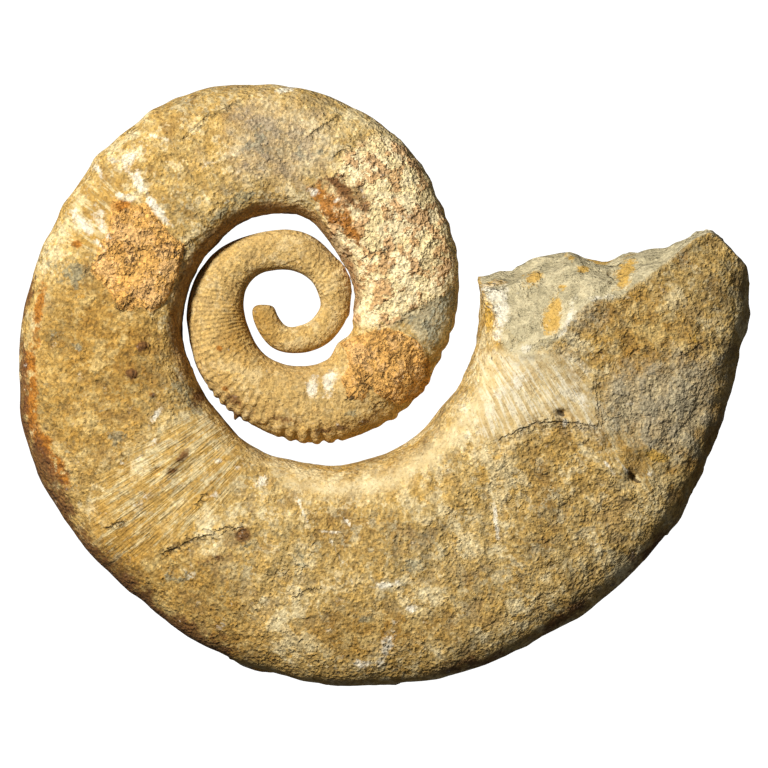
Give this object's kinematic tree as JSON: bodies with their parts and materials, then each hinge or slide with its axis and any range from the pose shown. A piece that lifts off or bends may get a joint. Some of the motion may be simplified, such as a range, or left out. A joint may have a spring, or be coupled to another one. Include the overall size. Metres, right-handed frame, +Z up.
{
  "type": "fossil heteromorph ammonite",
  "caption": "Large open-coiled fossil ammonite in ochre limestone, broken at its wide end, lying on its flank.",
  "frame": {"origin": "centre of the bounding box in plan, on the surface it lies on", "axes": "+X across the coil towards the broken wide end's side, +Y across the coil towards the side that the broken end faces, +Z up, away from the surface"},
  "size_m": [0.499, 0.412, 0.1174],
  "materials": {
    "ochre_limestone": "matt weathered limestone, tan to ochre, with cream calcite, rust stains, grey matrix and rough orange-brown sediment crust"
  },
  "bodies": {
    "root": {"ammonite": "ochre_limestone"}
  },
  "joints": []
}
